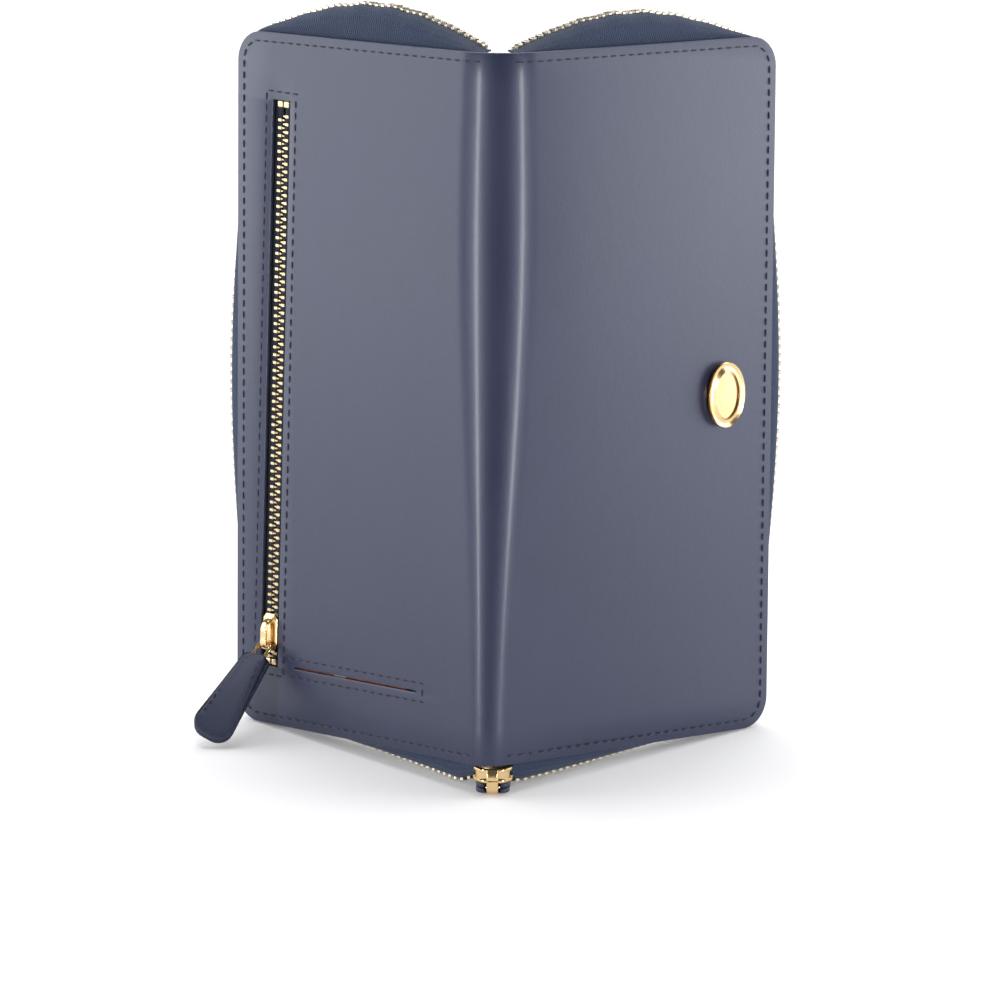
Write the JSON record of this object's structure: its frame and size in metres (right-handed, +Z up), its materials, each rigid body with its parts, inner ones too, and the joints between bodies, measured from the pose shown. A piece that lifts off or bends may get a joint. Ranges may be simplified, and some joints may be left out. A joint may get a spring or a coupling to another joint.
{
  "type": "zip-around wallet",
  "caption": "Long navy leather zip-around wallet standing open on end: two covers on a rounded spine, outer zip pocket, coin pocket and card slots.",
  "frame": {"origin": "middle of the standing wallet's bounding box, on the surface it stands on", "axes": "+Z up along the standing wallet's length, which leans back 8.3 degrees; the outside of the spine faces -Y, the back cover with the zip pocket lies towards -X and the front cover towards +X"},
  "size_m": [0.164, 0.1083, 0.2073],
  "materials": {
    "leather": "smooth semi-gloss full-grain leather with fine creases",
    "board": "pressed fibre board, matt",
    "pocket_lining": "plain woven lining cloth",
    "label": "woven satin label, blank",
    "zip_tape": "herringbone woven zip tape",
    "zip_teeth": "polished pale metal teeth",
    "gold": "polished light gold plating",
    "lining": "twill lining cloth"
  },
  "bodies": {
    "spine": {"spine_leather": "leather", "spine_stiffener": "board", "spine_lining": "lining", "main_slider": "gold", "main_slider_bridge": "gold", "main_tape_start": "zip_tape", "coin_panel_left": "lining", "coin_panel_right": "lining", "coin_base": "leather", "coin_tape_left": "zip_tape", "coin_tape_right": "zip_tape", "coin_teeth_left": "zip_teeth", "coin_teeth_right": "zip_teeth", "coin_stops": "zip_teeth", "gusset_back_top": "lining", "gusset_back_bottom": "lining", "gusset_front_top": "lining", "gusset_front_bottom": "lining"},
    "back_cover": {"back_leather": "leather", "back_board": "board", "back_lining": "lining", "back_slip_panel": "leather", "back_card_panel_1": "leather", "back_card_panel_2": "leather", "back_card_panel_3": "leather", "back_card_panel_4": "leather", "back_main_tape": "zip_tape", "back_main_teeth": "zip_teeth", "back_main_stop": "zip_teeth", "pocket_lining_outer": "pocket_lining", "pocket_lining_inner": "pocket_lining", "pocket_label": "label", "pocket_tape_left": "zip_tape", "pocket_tape_right": "zip_tape", "pocket_teeth_left": "zip_teeth", "pocket_teeth_right": "zip_teeth", "pocket_stops": "zip_teeth"},
    "front_cover": {"front_leather": "leather", "front_board": "board", "front_lining": "lining", "front_slip_panel": "leather", "front_card_panel_1": "leather", "front_card_panel_2": "leather", "front_card_panel_3": "leather", "front_card_panel_4": "leather", "front_main_tape": "zip_tape", "front_main_teeth": "zip_teeth", "front_main_stop": "zip_teeth", "emblem_plate": "gold", "emblem_washer": "gold"},
    "main_pull": {"main_pull_fork": "gold", "main_pull_tab": "leather"},
    "coin_slider": {"coin_slider": "gold", "coin_slider_bridge": "gold"},
    "coin_pull": {"coin_pull_fork": "gold", "coin_pull_tab": "leather"},
    "pocket_slider": {"pocket_slider": "gold", "pocket_slider_bridge": "gold"},
    "pocket_pull": {"pocket_pull_fork": "gold", "pocket_pull_tab": "leather"}
  },
  "joints": [
    {"name": "back_cover_fold", "type": "hinge", "parent": "spine", "child": "back_cover", "pos_m": [-0.00961, -0.04605, 0.00746], "axis": [-0.0063, -0.1442, -0.9895], "range_deg": [-6, 40], "deforming": ["gusset_back_top", "gusset_back_bottom"]},
    {"name": "front_cover_fold", "type": "hinge", "parent": "spine", "child": "front_cover", "pos_m": [0.01197, -0.04699, 0.00746], "axis": [0.0063, 0.1442, 0.9895], "range_deg": [-6, 40], "deforming": ["gusset_front_top", "gusset_front_bottom"]},
    {"name": "pocket_zip_slide", "type": "slide", "parent": "back_cover", "child": "pocket_slider", "axis": [0.0264, 0.125, 0.9918], "range_m": [0, 0.14]},
    {"name": "pocket_pull_swing", "type": "hinge", "parent": "pocket_slider", "child": "pocket_pull", "pos_m": [-0.06242, 0.00558, 0.02361], "axis": [-0.7192, 0.6915, -0.068], "range_deg": [-34, 92]},
    {"name": "coin_zip_slide", "type": "slide", "parent": "spine", "child": "coin_slider", "axis": [-0.0063, -0.1442, -0.9895], "range_m": [0, 0.145]},
    {"name": "coin_pull_swing", "type": "hinge", "parent": "coin_slider", "child": "coin_pull", "pos_m": [0.00547, 0.05177, 0.16309], "axis": [0.999, -0.0436, 0], "range_deg": [-6, 134]},
    {"name": "main_pull_swing", "type": "hinge", "parent": "spine", "child": "main_pull", "pos_m": [0.00093, -0.05215, 0.00181], "axis": [0.999, -0.0436, 0], "range_deg": [-170, 0]}
  ]
}
